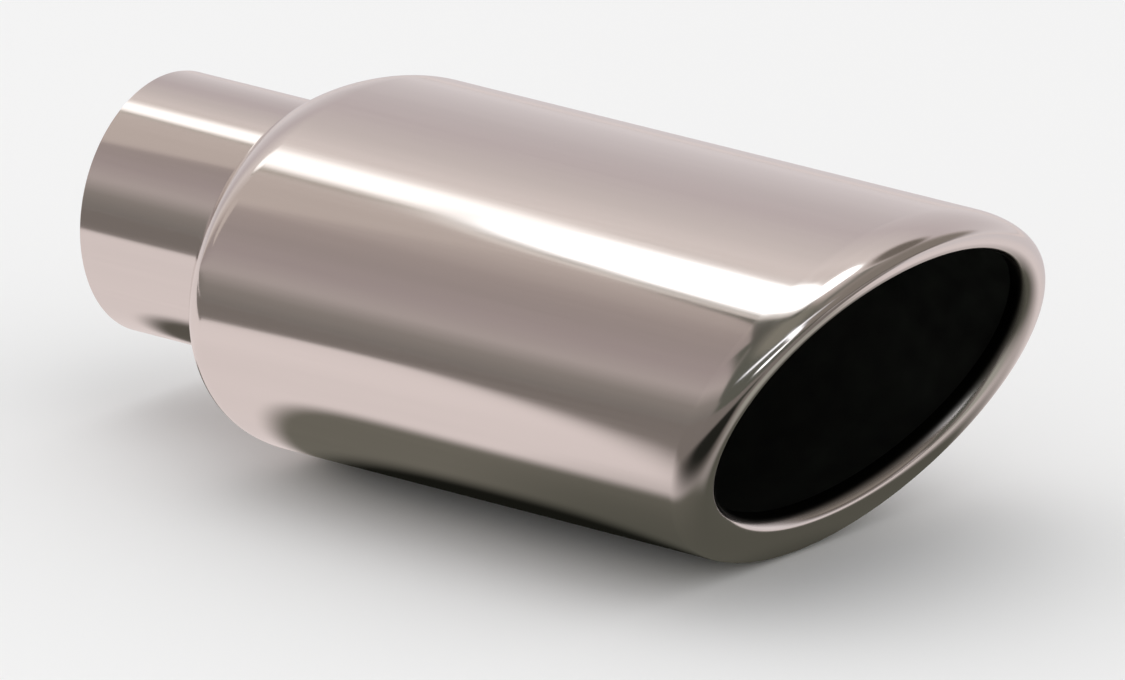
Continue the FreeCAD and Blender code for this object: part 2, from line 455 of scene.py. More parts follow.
def noise(
    place: NodeSocket, scale: Source, detail: float = 2.0, roughness: float = 0.5
) -> Formula:
    """Return a noise texture's value.

    Args:
        place: where it is read.
        scale: how fine it is.
        detail: how many finer layers it has.
        roughness: how strong they are.

    Returns:
        The value, between 0 and 1.
    """
    inputs = {"Vector": place, "Scale": scale, "Detail": detail, "Roughness": roughness}
    return Formula(add_node(place.id_data, "ShaderNodeTexNoise", inputs).outputs["Fac"])


def object_place(tree: NodeTree) -> NodeSocket:
    """Return the place on a piece, in metres."""
    return add_node(tree, "ShaderNodeTexCoord").outputs["Object"]


@dataclass(frozen=True)
class PolishingMarks:
    """The shared group of polishing marks, which run along the UV map's second axis."""

    stretch: float = 0.02
    fine_detail: float = 5.0
    fine_roughness: float = 0.6
    fine_shade: float = 0.5
    broad_scale: float = 45.0
    broad_shade: float = 2.6
    broad_height: float = 2.0
    least_roughness: float = 0.02

    def build(self) -> NodeTree:
        """Build the group.

        Returns:
            A group that puts out a colour, a roughness and a height.
        """
        colour, value = "NodeSocketColor", "NodeSocketFloat"
        group, _ = new_group(
            "polishing_marks",
            "ShaderNodeTree",
            {"Tint": colour, "Roughness": value, "Spread": value, "Fineness": value},
            {"Color": colour, "Roughness": value, "Height": value},
        )
        entry = add_node(group, "NodeGroupInput").outputs
        chart = add_node(group, "ShaderNodeUVMap", uv_map=UV_MAP)
        drawn_out = add_node(
            group,
            "ShaderNodeVectorMath",
            {0: chart.outputs[0], 1: (1.0, self.stretch, 1.0)},
            operation="MULTIPLY",
        ).outputs[0]
        fine = noise(drawn_out, entry["Fineness"], self.fine_detail, self.fine_roughness)
        fine, broad = fine - 0.5, noise(drawn_out, self.broad_scale) - 0.5
        spread = Formula(entry["Spread"])
        rough = Formula(entry["Roughness"]) + spread * (fine + broad)
        grey = 1.0 + spread * (broad * self.broad_shade + fine * self.fine_shade)
        outputs = {
            "Color": colour_mix(group, 1.0, entry["Tint"], grey, "MULTIPLY"),
            "Roughness": rough.step("MAXIMUM", self.least_roughness),
            "Height": fine + broad * self.broad_height,
        }
        add_node(group, "NodeGroupOutput", outputs)
        return group


@dataclass(frozen=True)
class SteelFinish:
    """A bare steel surface with polishing marks, and painted shade if a band for it is
    given.

    The painted shade darkens and dulls the steel where it turns into the unlit mouth. Its
    band's two numbers are the places on the UV map's first axis where it starts and where
    it covers the steel.
    """

    name: str
    tint: Colour
    roughness: float
    spread: float
    fineness: float
    relief: float
    # The painted shade: the band it lies in, its colour and how much duller it leaves the
    # steel.
    painted_shade: tuple[float, float] | None = None
    painted_shade_colour: Colour = (0.010, 0.010, 0.008)
    painted_shade_dullness: float = 0.25

    def build(self, marks: NodeTree) -> Material:
        """Build the material.

        Args:
            marks: the shared group of polishing marks.

        Returns:
            The material.
        """
        material, shader = new_material(self.name)
        tree = material.node_tree
        group = add_node(
            tree,
            "ShaderNodeGroup",
            {
                "Tint": self.tint,
                "Roughness": self.roughness,
                "Spread": self.spread,
                "Fineness": self.fineness,
            },
            node_tree=marks,
        )
        height = group.outputs["Height"]
        inputs = {"Strength": 1.0, "Distance": self.relief, "Height": height}
        bump = add_node(tree, "ShaderNodeBump", inputs)
        colour, roughness = group.outputs["Color"], group.outputs["Roughness"]
        if self.painted_shade is not None:
            # Painted shade: the steel turns near-black and duller across the band.
            painted_shade = self.painted_shade_share(tree)
            colour = colour_mix(tree, painted_shade, colour, self.painted_shade_colour)
            roughness = Formula(roughness) + painted_shade * self.painted_shade_dullness
        inputs = {
            "Metallic": 1.0,
            "Normal": bump.outputs["Normal"],
            "Base Color": colour,
            "Roughness": roughness,
        }
        feed_all(shader, inputs)
        return material

    def painted_shade_share(self, tree: NodeTree) -> Formula:
        """Return how much of the steel the painted shade covers, thickening across the UV
        map.

        Args:
            tree: the shader tree.

        Returns:
            The share.
        """
        across, _, _ = parts_of(add_node(tree, "ShaderNodeUVMap", uv_map=UV_MAP).outputs[0])
        shade_start, shade_full = self.painted_shade
        share = ((across - shade_start) / (shade_full - shade_start)).held()
        return share * (2.0 - share)


@dataclass(frozen=True)
class PaintedShadeInside:
    """The dull inner face of the shell, with a soft mottle, painted near-black as the shade
    of its unlit inside.
    """

    name: str = "painted_shade_inside"
    shade: Colour = (0.012, 0.014, 0.011)
    darkest: float = 0.6
    palest: float = 1.6
    roughness: float = 0.62
    roughness_spread: float = 0.2
    scale: float = 160.0
    detail: float = 4.0
    relief: float = 4e-5

    def build(self) -> Material:
        """Build the material.

        Returns:
            The material.
        """
        material, shader = new_material(self.name)
        tree = material.node_tree
        blots = noise(object_place(tree), self.scale, self.detail)
        dark, pale = (
            tuple(factor * part for part in self.shade)
            for factor in (self.darkest, self.palest)
        )
        bump = add_node(tree, "ShaderNodeBump", {"Distance": self.relief, "Height": blots})
        least = self.roughness - 0.5 * self.roughness_spread
        inputs = {
            "Base Color": colour_ramp(blots, ((0.3, dark), (0.75, pale))),
            "Roughness": blots * self.roughness_spread + least,
            "Normal": bump.outputs["Normal"],
        }
        feed_all(shader, inputs)
        return material


@dataclass(frozen=True)
class WeldMetal:
    """As-welded steel with a straw and brown heat tint."""

    name: str = "weld_metal"
    bright: Colour = (0.42, 0.37, 0.33)
    tinted: Colour = (0.20, 0.12, 0.07)
    roughness: float = 0.28
    roughness_spread: float = 0.25
    scale: float = 220.0
    detail: float = 3.0

    def build(self) -> Material:
        """Build the material.

        Returns:
            The material.
        """
        material, shader = new_material(self.name)
        heat = noise(object_place(material.node_tree), self.scale, self.detail)
        inputs = {
            "Metallic": 1.0,
            "Base Color": colour_ramp(heat, ((0.35, self.tinted), (0.65, self.bright))),
            "Roughness": heat * self.roughness_spread + self.roughness,
        }
        feed_all(shader, inputs)
        return material


@dataclass(frozen=True)
class ShellRows:
    """Faces along each band of the shell that bends or is long."""

    shoulder: int = 36
    tube: int = 24
    lip: int = 26
    edge: int = 14
    roll: int = 5
    inner_roll: int = 3
    inner_edge: int = 4
    inner_lip: int = 8
    inner_tube: int = 12
    inner_shoulder: int = 16


@dataclass
class OuterShell:
    """The formed sheet: domed shoulder, oval tube, rounded lip and rolled edge."""

    neck_radius: float = 0.0306
    neck_length: float = 0.0419
    overall_length: float = 0.2286
    half_width: float = 0.0601
    half_height: float = 0.04265
    drop: float = 0.0027
    wall: float = 0.0012
    shoulder_length: float = 0.0202
    shoulder_fullness: float = 1.95
    slash_angle: float = math.radians(26.1)
    lip_top_lead: float = 0.0140
    lip_low_lead: float = 0.0030
    lip_side_width: float = 0.0092
    lip_end_width: float = 0.0109
    lip_land: float = 0.0003
    edge_radius: float = 0.0040
    lip_depth: float = 0.0060
    seat_factor: float = 1.25
    seat_lead: float = 0.002
    seat_sink: float = 0.00005
    segments: int = 288
    rows: ShellRows = ShellRows()
    crease: float = math.radians(50.0)

    @property
    def mouth_x(self) -> float:
        """Return where the mouth's plane crosses the oval's axis."""
        reach = self.lip_end_width - self.edge_radius - self.lip_land
        rise = reach * math.sin(self.slash_angle)
        foremost = rise + self.lip_top_lead - math.hypot(rise, self.lip_top_lead)
        top_lead = self.half_height * math.tan(self.slash_angle)
        return self.overall_length - top_lead + foremost

    def edge_place(self, degrees: float) -> float:
        """Return where the UV map's first axis meets the opening's rounded edge.

        Args:
            degrees: angle round the edge, 0 at the front and 90 in the mouth.

        Returns:
            The place, in metres.
        """
        angle = math.radians(degrees)
        opening = self.half_width - self.lip_side_width
        depth = self.edge_radius * (1.0 - math.cos(angle))
        outset = self.edge_radius * (1.0 - math.sin(angle))
        return self.mouth_x - depth * math.cos(self.slash_angle) + opening + outset

    def sizes(self) -> dict[str, float]:
        """Return the named inputs of the shell's tree."""
        keys = (
            "neck_radius", "neck_length", "half_width", "half_height", "drop", "wall",
            "shoulder_length", "shoulder_fullness", "lip_top_lead", "lip_low_lead",
            "lip_side_width", "lip_end_width", "lip_land", "edge_radius", "lip_depth",
            "mouth_x",
        )
        return {key: getattr(self, key) for key in keys}

    def shoulder_ring(self, sweep: SweepTree, share: Formula, inset: Formula) -> Ring:
        """Return the shoulder's ring at a share of its length, on a face of the sheet.

        Args:
            sweep: the shell's tree.
            share: share of the shoulder's length.
            inset: 0 on the outer face, the wall on the inner.

        Returns:
            The ring.
        """
        size = sweep.size
        rest = 1.0 - share
        growth = 1.0 - rest ** size("shoulder_fullness")
        steepness = rest ** (size("shoulder_fullness") - 1.0)
        steepness = steepness * size("shoulder_fullness") / size("shoulder_length")

        def half(end: Formula) -> Formula:
            """Return half the ring's width or height, from half the oval's."""
            rise = end - size("neck_radius")
            slope = steepness * rise
            thickness = inset * (slope * slope + 1.0).root()
            full = size("neck_radius") + rise * growth - thickness
            return full.step("MAXIMUM", size("neck_radius") - self.seat_sink)

        return Ring(
            size("neck_length") + size("shoulder_length") * share,
            size("drop") * growth * -1.0,
            sweep.number(0.0),
            half(size("half_height")),
            half(size("half_width")),
        )

    def oval_ring(self, sweep: SweepTree, inset: Formula) -> Ring:
        """Return the full oval where the shoulder ends.

        Args:
            sweep: the shell's tree.
            inset: 0 on the outer face, the wall on the inner.

        Returns:
            The ring.
        """
        size = sweep.size
        return Ring(
            size("neck_length") + size("shoulder_length"),
            size("drop") * -1.0,
            sweep.number(0.0),
            size("half_height") - inset,
            size("half_width") - inset,
        )

    def lip_ring(self, sweep: SweepTree, share: Formula, inset: Formula) -> Ring:
        """Return a ring of the lip's rounding, from the front face (0) to the wall (1).

        Args:
            sweep: the shell's tree.
            share: share of the rounding.
            inset: 0 on the outer face, the wall on the inner.

        Returns:
            The ring.
        """
        size = sweep.size
        sine, cosine = math.sin(self.slash_angle), math.cos(self.slash_angle)
        turn = share * QUARTER_TURN
        bare = size("edge_radius") + size("lip_land") + inset
        reach = (size("lip_end_width") - bare) * (1.0 - turn.sine())
        ends = []
        for side, lead in ((1.0, size("lip_top_lead")), (-1.0, size("lip_low_lead"))):
            corner_z = (size("half_height") - inset) * side
            corner_x = size("mouth_x") - inset / cosine + corner_z * (sine / cosine)
            behind = (lead - inset) * (1.0 - turn.cosine())
            end_x = corner_x - reach * (side * sine) - behind
            ends.append((end_x, corner_z - reach * (side * cosine)))
        (top_x, top_z), (low_x, low_z) = ends
        side_inset = (size("lip_side_width") - bare) * (1.0 - turn.sine())
        return Ring(
            (top_x + low_x) * 0.5,
            (top_z + low_z) * 0.5 - size("drop"),
            (top_x - low_x) * 0.5,
            (top_z - low_z) * 0.5,
            size("half_width") - inset - side_inset,
        )

    def opening_ring(
        self, sweep: SweepTree, depth: Formula, outset: Formula, inset: Formula
    ) -> Ring:
        """Return a ring of the opening, parallel to the mouth.

        Args:
            sweep: the shell's tree.
            depth: how far behind the mouth's plane it lies.
            outset: how much wider than the opening it is.
            inset: 0 on the outer face, the wall on the inner.

        Returns:
            The ring.
        """
        size = sweep.size
        sine, cosine = math.sin(self.slash_angle), math.cos(self.slash_angle)
        half_height = size("half_height") / cosine - size("lip_end_width") + inset + outset
        return Ring(
            size("mouth_x") - depth * cosine,
            depth * sine - size("drop"),
            half_height * sine,
            half_height * cosine,
            size("half_width") - size("lip_side_width") + inset + outset,
        )

    def edge_ring(self, sweep: SweepTree, share: Formula, inset: Formula) -> Ring:
        """Return a ring of the opening's rounded edge, from front (0) to throat (1).

        Args:
            sweep: the shell's tree.
            share: share of the rounding.
            inset: 0 on the outer face, the wall on the inner.

        Returns:
            The ring.
        """
        turn = share * QUARTER_TURN
        radius = sweep.size("edge_radius") - inset
        depth = inset + radius * (1.0 - turn.cosine())
        return self.opening_ring(sweep, depth, radius * (1.0 - turn.sine()), inset)

    def build(
        self,
        polished: Material,
        painted_shade_edge: Material,
        inside: Material,
    ) -> Object:
        """Build the shell as one closed skin.

        Args:
            polished: finish of the outer face and the front of the lip.
            painted_shade_edge: finish of the rolled edge, from the front of the lip inward,
                darkened with painted shade towards the mouth.
            inside: finish of the inner face, painted near-black as its shade.

        Returns:
            The shell.
        """
        sweep = SweepTree("shell_sweep", self.sizes(), self.segments)
        outer, wall = sweep.number(0.0), sweep.size("wall")
        still, whole = sweep.number(0.0), sweep.number(1.0)
        along, size, rows = sweep.along, sweep.size, self.rows
        back = 1.0 - along

        start = self.shoulder_ring(sweep, still - self.seat_lead, outer)
        share = along * (2.0 - along) * (1.0 + self.seat_lead) - self.seat_lead
        sweep.band(self.shoulder_ring(sweep, share, outer), rows.shoulder, polished)
        lip_back = self.lip_ring(sweep, whole, outer)
        tube = self.oval_ring(sweep, outer).toward(lip_back, along)
        sweep.band(tube, rows.tube, polished)
        sweep.band(self.lip_ring(sweep, back, outer), rows.lip, polished, True)
        edge_front = self.edge_ring(sweep, still, outer)
        front = self.lip_ring(sweep, still, outer).toward(edge_front, along)
        sweep.band(front, 1, polished, True)

        sweep.band(self.edge_ring(sweep, along, outer), rows.edge, painted_shade_edge, True)
        throat = self.opening_ring(sweep, size("edge_radius"), still, outer)
        roll_end = self.opening_ring(sweep, size("lip_depth"), still, outer)
        sweep.band(throat.toward(roll_end, along), rows.roll, painted_shade_edge, True)
        inner_end = self.opening_ring(sweep, size("lip_depth"), still, wall)
        sweep.band(roll_end.toward(inner_end, along), 1, painted_shade_edge, True)

        inner_throat = self.opening_ring(sweep, size("edge_radius"), still, wall)
        sweep.band(inner_end.toward(inner_throat, along), rows.inner_roll, inside)
        sweep.band(self.edge_ring(sweep, back, wall), rows.inner_edge, inside)
        inner_front = self.edge_ring(sweep, still, wall)
        inner_lip = self.lip_ring(sweep, still, wall)
        sweep.band(inner_front.toward(inner_lip, along), 1, inside)
        sweep.band(self.lip_ring(sweep, along, wall), rows.inner_lip, inside)
        inner_tube = self.lip_ring(sweep, whole, wall).toward(
            self.oval_ring(sweep, wall), along
        )
        sweep.band(inner_tube, rows.inner_tube, inside)
        seat = wall * self.seat_factor / size("shoulder_length")
        share = seat + (1.0 - seat) * (back * (2.0 - back))
        sweep.band(self.shoulder_ring(sweep, share, wall), rows.inner_shoulder, inside)
        inner_start = self.shoulder_ring(sweep, seat, wall)
        sweep.band(inner_start.toward(start, along), 1, inside)
        return sweep.skin("polished_shell", self.crease)

    def dress(self, piece: Object) -> None:
        """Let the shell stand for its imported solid."""
        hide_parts("outer_shell")
        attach(piece, "root")
        report(piece)


@dataclass
class InletTube:
    """The round tube that slips over the tailpipe."""

    bore_radius: float = 0.0290
    wall: float = 0.0016
    length: float = 0.0479
    chamfer: float = 0.0004
    segments: int = 256
    outer_rows: int = 12
    bore_rows: int = 8
    crease: float = math.radians(30.0)

    def build(
        self, polished: Material, drawn: Material
    ) -> Object:
        """Build the tube as one closed skin.

        Args:
            polished: finish of its outside.
            drawn: finish of its bore and cut ends.

        Returns:
            The tube.
        """
        keys = ("bore_radius", "wall", "length", "chamfer")
        sizes = {key: getattr(self, key) for key in keys}
        sweep = SweepTree("tube_sweep", sizes, self.segments)
        size, level = sweep.size, sweep.number(0.0)
        bore, outside = size("bore_radius"), size("bore_radius") + size("wall")
        corners = (
            (level, outside - size("chamfer"), 1, drawn),
            (size("chamfer"), outside, self.outer_rows, polished),
            (size("length"), outside, 1, drawn),
            (size("length"), bore, self.bore_rows, drawn),
            (level, bore, 1, drawn),
        )
        for index, (x, radius, rows, finish) in enumerate(corners):
            next_x, next_radius = corners[(index + 1) % len(corners)][:2]
            end = sweep.circle(next_x, next_radius)
            sweep.band(sweep.circle(x, radius).toward(end, sweep.along), rows, finish)
        return sweep.skin("inlet_tube_skin", self.crease)

    def dress(self, piece: Object) -> None:
        """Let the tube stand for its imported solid."""
        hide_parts("inlet_tube")
        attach(piece, "root")
        report(piece)


@dataclass
class WeldBead:
    """The fillet weld inside the shell, laid as overlapping ripples round the tube.

    A ripple's half sizes are those away from the tube, along it and round it. Each is
    drawn at random between its least and its most share.
    """

    radius: float = 0.0312
    count: int = 84
    seed: int = 7
    x: float = 0.0447
    ripple: tuple[float, float, float] = (0.00125, 0.0009, 0.00185)
    least: tuple[float, float, float] = (0.95, 0.95, 0.94)
    most: tuple[float, float, float] = (1.05, 1.05, 1.06)
    path_points: int = 180
    ripple_segments: int = 16
    ripple_rings: int = 10
    crease: float = math.radians(50.0)

    def build(self, metal: Material) -> Object:
        """Build the ripples with Geometry Nodes.

        Args:
            metal: the weld's finish.

        Returns:
            The weld.
        """
        name, whole_number = "weld_ripples", "NodeSocketInt"
        tree, identifiers = new_group(
            name,
            "GeometryNodeTree",
            {"radius": "NodeSocketFloat", "count": whole_number, "seed": whole_number},
            {"Geometry": "NodeSocketGeometry"},
        )
        entry = add_node(tree, "NodeGroupInput").outputs
        path = add_node(
            tree,
            "GeometryNodeCurvePrimitiveCircle",
            {"Resolution": self.path_points, "Radius": entry["radius"]},
        )
        points = add_node(
            tree,
            "GeometryNodeCurveToPoints",
            {"Curve": path.outputs["Curve"], "Count": entry["count"]},
        )
        ripple = add_node(
            tree,
            "GeometryNodeMeshUVSphere",
            {"Segments": self.ripple_segments, "Rings": self.ripple_rings, "Radius": 1.0},
        )
        varied = add_node(
            tree,
            "FunctionNodeRandomValue",
            {"Seed": entry["seed"]},
            data_type="FLOAT_VECTOR",
        )
        limits = [socket for socket in varied.inputs if socket.type == "VECTOR"]
        for socket, shares in zip(limits, (self.least, self.most)):
            feed(socket, tuple(share * half for share, half in zip(shares, self.ripple)))
        scatter = add_node(
            tree,
            "GeometryNodeInstanceOnPoints",
            {
                "Points": points.outputs["Points"],
                "Instance": ripple.outputs["Mesh"],
                "Rotation": points.outputs["Rotation"],
                "Scale": next(s for s in varied.outputs if s.type == "VECTOR"),
            },
        )
        upright = {"Translation": (self.x, 0.0, 0.0), "Rotation": (0.0, QUARTER_TURN, 0.0)}
        whole = chain(
            scatter.outputs["Instances"],
            ("GeometryNodeTransform", upright),
            ("GeometryNodeRealizeInstances", {}),
            ("GeometryNodeSetShadeSmooth", {}),
            ("GeometryNodeSetMaterial", {"Material": metal}),
        )
        add_node(tree, "NodeGroupOutput", {"Geometry": whole})
        values = {identifiers[key]: getattr(self, key) for key in identifiers}
        return mesh_from_tree(name, tree, values, self.crease)

    def dress(self, piece: Object) -> None:
        """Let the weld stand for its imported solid."""
        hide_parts("weld_bead")
        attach(piece, "root")
        report(piece)


@dataclass(frozen=True)
class SoftLamp:
    """A rectangular studio lamp, hung level."""

    name: str = "key_softbox"
    place: tuple[float, float, float] = (0.05, -0.10, 1.30)
    width: float = 1.1
    depth: float = 0.9
    radiance: float = 0.5

    def build(self) -> None:
        """Hang the lamp, out of sight of the camera and of the steel."""
        lamp = bpy.data.lights.new(self.name, "AREA")
        lamp.shape = "RECTANGLE"
        lamp.size = self.width
        lamp.size_y = self.depth
        lamp.energy = self.radiance * math.pi * self.width * self.depth
        holder = bpy.data.objects.new(self.name, lamp)
        holder.matrix_world = Matrix.Translation(self.place)
        holder.visible_camera = False
        holder.visible_glossy = False
        bpy.context.scene.collection.objects.link(holder)


@dataclass(frozen=True)
class Patch:
    """A soft-edged patch of tone, on a level sheet in metres or on the tent in degrees.

    It is a superellipse: squareness 2 is an oval and a large one is a rectangle.
    """

    place: tuple[float, float]
    reach: tuple[float, float]
    colour: Colour
    turn: float = 0.0
    squareness: float = 2.0
    softness: float = 0.4

    def mask(self, across: Formula, up: Formula) -> Formula:
        """Return the patch's share at a point given in its own reach.

        Args:
            across: distance from its middle, in units of its first reach.
            up: distance from its middle, in units of its second reach.

        Returns:
            The share, 1 inside and 0 outside.
        """
        power = self.squareness
        sum_of_powers = across.magnitude() ** power + up.magnitude() ** power
        return ((1.0 - sum_of_powers ** (1.0 / power)) / self.softness + 0.5).eased()

    def on_sheet(self, x: Formula, y: Formula) -> Formula:
        """Return the patch's share at a place on a level sheet.

        Args:
            x: the place along the tip.
            y: the place across it.

        Returns:
            The share.
        """
        cosine, sine = math.cos(math.radians(self.turn)), math.sin(math.radians(self.turn))
        right, up = x - self.place[0], y - self.place[1]
        return self.mask(
            (right * cosine + up * sine) / self.reach[0],
            (up * cosine - right * sine) / self.reach[1],
        )

    def on_tent(self, direction: tuple[Formula, Formula, Formula]) -> Formula:
        """Return the patch's share in a direction, its place being azimuth and elevation.

        Args:
            direction: the direction's three parts.

        Returns:
            The share.
        """
        azimuth, elevation = (math.radians(angle) for angle in self.place)
        outward = Vector((
            math.cos(azimuth) * math.cos(elevation),
            math.sin(azimuth) * math.cos(elevation),
            math.sin(elevation),
        ))
        turn = Matrix.Rotation(math.radians(self.turn), 3, outward)
        level = turn @ Vector((-math.sin(azimuth), math.cos(azimuth), 0.0))
        x, y, z = direction
        across, up, ahead = (
            x * axis.x + y * axis.y + z * axis.z
            for axis in (level, outward.cross(level), outward)
        )
        share = self.mask(
            across / math.sin(math.radians(self.reach[0])),
            up / math.sin(math.radians(self.reach[1])),
        )
        return share * ahead.step("GREATER_THAN", 0.0)


# The tent's tone by the angle round the tip's axis, 0 in front and 90 overhead.
TENT: dict[float, Colour] = {
    -60.0: (0.17, 0.16, 0.13),
    0.0: (0.19, 0.17, 0.155),
    14.0: (0.25, 0.22, 0.2),
    27.0: (0.43, 0.37, 0.35),
    42.0: (0.36, 0.3, 0.29),
    56.0: (0.335, 0.28, 0.265),
    68.0: (0.36, 0.3, 0.28),
    84.0: (0.54, 0.46, 0.42),
    112.0: (0.7, 0.62, 0.59),
    124.0: (0.61, 0.54, 0.52),
    140.0: (0.53, 0.46, 0.46),
    160.0: (0.6, 0.54, 0.54),
    180.0: (0.72, 0.66, 0.66),
}

# Every tuple of patches runs from the lowest layer up.
DARK_WALL: Colour = (0.1, 0.1, 0.082)
TENT_PATCHES = (
    # The dark wall in front of the mouth, and the dim one beside it.
    Patch((-42.0, 0.0), (48.0, 72.0), DARK_WALL, 0.0, 7.0, 0.12),
    Patch((28.0, 30.0), (38.0, 30.0), (0.13, 0.11, 0.095)),
)

# The glowing ceiling that only the steel sees: painted reflections of cards and lamps,
# painted highlights among them.
CEILING_HEIGHT = 0.3
CEILING_PATCHES = (
    # A warm card behind the neck, and dark and dim cards that the lip mirrors.
    Patch((-0.297, -0.141), (0.3, 0.06), (0.54, 0.46, 0.42), 30.0, 6.0, 0.1),
    Patch((0.59, -0.87), (0.49, 0.79), DARK_WALL, 0.0, 9.0, 0.06),
    Patch((0.9, 0.3), (0.57, 0.7), (0.22, 0.19, 0.165), softness=0.3),
    Patch((0.088, -0.119), (0.16, 0.06), (0.095, 0.09, 0.075), -53.0, 6.0, 0.12),
    Patch((0.265, 0.165), (0.07, 0.1), (0.16, 0.135, 0.115), softness=0.7),
    Patch((0.27, -0.2), (0.11, 0.13), (0.21, 0.195, 0.16), softness=1.0),
    # Bright streaks in the lip.
    Patch((0.4, -0.36), (0.28, 0.03), (1.4, 1.4, 1.45), 68.8, 3.0, 0.8),
    Patch((0.62, -0.24), (0.2, 0.05), (1.5, 1.5, 1.55), -8.0, softness=0.8),
    Patch((0.86, -0.58), (0.12, 0.26), (2.6, 2.6, 2.65), softness=0.8),
    # The highlight on the neck, with two lines below it.
    Patch((-0.15, 0.03), (0.125, 0.04), (0.92, 0.84, 0.8), -6.0, 3.0, 1.0),
    Patch((-0.15, 0.011), (0.125, 0.031), (0.28, 0.25, 0.2), -6.0, 3.0, 0.12),
    Patch((-0.15, 0.017), (0.125, 0.028), (0.78, 0.7, 0.65), -6.0, 3.0, 0.12),
    Patch((-0.15, 0.023), (0.12, 0.025), (1.45, 1.4, 1.36), -6.0, 3.0, 0.7),
    # The highlight on the oval, with three lines below it, and its end at the mouth.
    Patch((0.0955, -0.062), (0.15, 0.06), (0.07, 0.07, 0.052), -12.0, 2.8, 0.1),
    Patch((0.063, -0.045), (0.16, 0.056), (0.8, 0.72, 0.66), -12.0, 2.8, 0.06),
    Patch((0.064, -0.041), (0.157, 0.052), (0.12, 0.12, 0.09), -12.0, 2.8, 0.06),
    Patch((0.065, -0.036), (0.156, 0.052), (1.0, 0.92, 0.88), -12.0, 2.8, 0.5),
    Patch((0.067, -0.035), (0.152, 0.047), (1.9, 1.9, 1.9), -12.0, 2.6, 0.2),
    Patch((0.205, 0.0), (0.042, 0.068), (1.9, 1.9, 1.9), 0.0, 2.4, 0.25),
)

# Tones of the glowing table that only the steel sees: painted reflections of the lit board
# and the room.
BOARD: Colour = (0.74, 0.65, 0.63)
ROOM: Colour = (0.19, 0.165, 0.15)
TABLE_GAP = 1e-4
# Painted reflections on the table, painted shade under the tip among them.
TABLE_PATCHES = (
    # The table's cooler far side, and the room beyond its two near edges.
    Patch((-0.1, 0.55), (1.2, 0.42), (0.66, 0.6, 0.6), squareness=8.0),
    Patch((3.941, -4.767), (6.0, 6.0), ROOM, 40.0, 8.0, 0.006),
    Patch((-3.0, -7.0), (6.0, 6.0), ROOM, 0.0, 8.0, 0.006),
    Patch((-0.666, -0.765), (0.6, 0.6), ROOM, 0.0, 40.0, 0.03),
    # The shade under the neck, two dark things before the mouth, and its glow.
    Patch((0.012, -0.009), (0.019, 0.015), (0.1, 0.09, 0.075), 0.0, 3.0, 0.6),
    Patch((0.38, -0.17), (0.11, 0.06), (0.05, 0.05, 0.04), softness=0.8),
    Patch((0.265, -0.135), (0.088, 0.05), (0.015, 0.015, 0.012), -35.0, softness=0.6),
    Patch((0.29, 0.0), (0.055, 0.06), (0.34, 0.33, 0.29), softness=0.8),
    # The shade under the oval, deeper to the mouth, and deepest where it rests.
    Patch((0.1375, 0.0), (0.0795, 0.067), (0.15, 0.14, 0.115), 0.0, 8.0, 0.14),
    Patch((0.183, 0.012), (0.06, 0.074), (0.09, 0.087, 0.07), 0.0, 3.0, 0.8),
    Patch((0.123, 0.0), (0.063, 0.038), (0.008, 0.008, 0.006), 0.0, 2.6, 0.3),
)


@dataclass(frozen=True)
class PaleFloor:
    """The matt floor that the camera sees."""

    name: str = "pale_floor"
    shade: Colour = (0.86, 0.86, 0.86)
    roughness: float = 0.7
    roughness_spread: float = 0.1
    sheen: float = 0.1
    scale: float = 3.0

    def build(self) -> Material:
        """Build the material.

        Returns:
            The material.
        """
        material, shader = new_material(self.name)
        grain = noise(object_place(material.node_tree), self.scale)
        inputs = {
            "Roughness": grain * self.roughness_spread + self.roughness,
            "Base Color": self.shade,
            "Specular IOR Level": self.sheen,
        }
        feed_all(shader, inputs)
        return material


@dataclass(frozen=True)
class PaintedReflectionSheet:
    """A glowing level sheet that only the steel sees, whose tones are painted reflections.

    The ground is the tone between the patches. Without one, the tent shows between them.
    """

    name: str
    height: float
    patches: tuple[Patch, ...]
    ground: Colour | None = None

    def build(self) -> Material:
        """Build the material.

        Returns:
            The material.
        """
        material = bpy.data.materials.new(self.name)
        material.use_nodes = True
        tree = material.node_tree
        tree.nodes.clear()
        x, y, _ = parts_of(object_place(tree))
        shares = [patch.on_sheet(x, y) for patch in self.patches]
        colour: Source = self.ground or self.patches[0].colour
        for patch, share in zip(self.patches, shares):
            colour = colour_mix(tree, share, colour, patch.colour)
        # The sheet glows with its painted reflection, though it is no lamp.
        surface = add_node(tree, "ShaderNodeEmission", {"Color": colour}).outputs[0]
        if self.ground is None:
            cover = reduce(lambda most, share: most.step("MAXIMUM", share), shares)
            clear = add_node(tree, "ShaderNodeBsdfTransparent").outputs[0]
            inputs = {0: cover, 1: clear, 2: surface}
            surface = add_node(tree, "ShaderNodeMixShader", inputs).outputs[0]
        add_node(tree, "ShaderNodeOutputMaterial", {"Surface": surface})
        return material


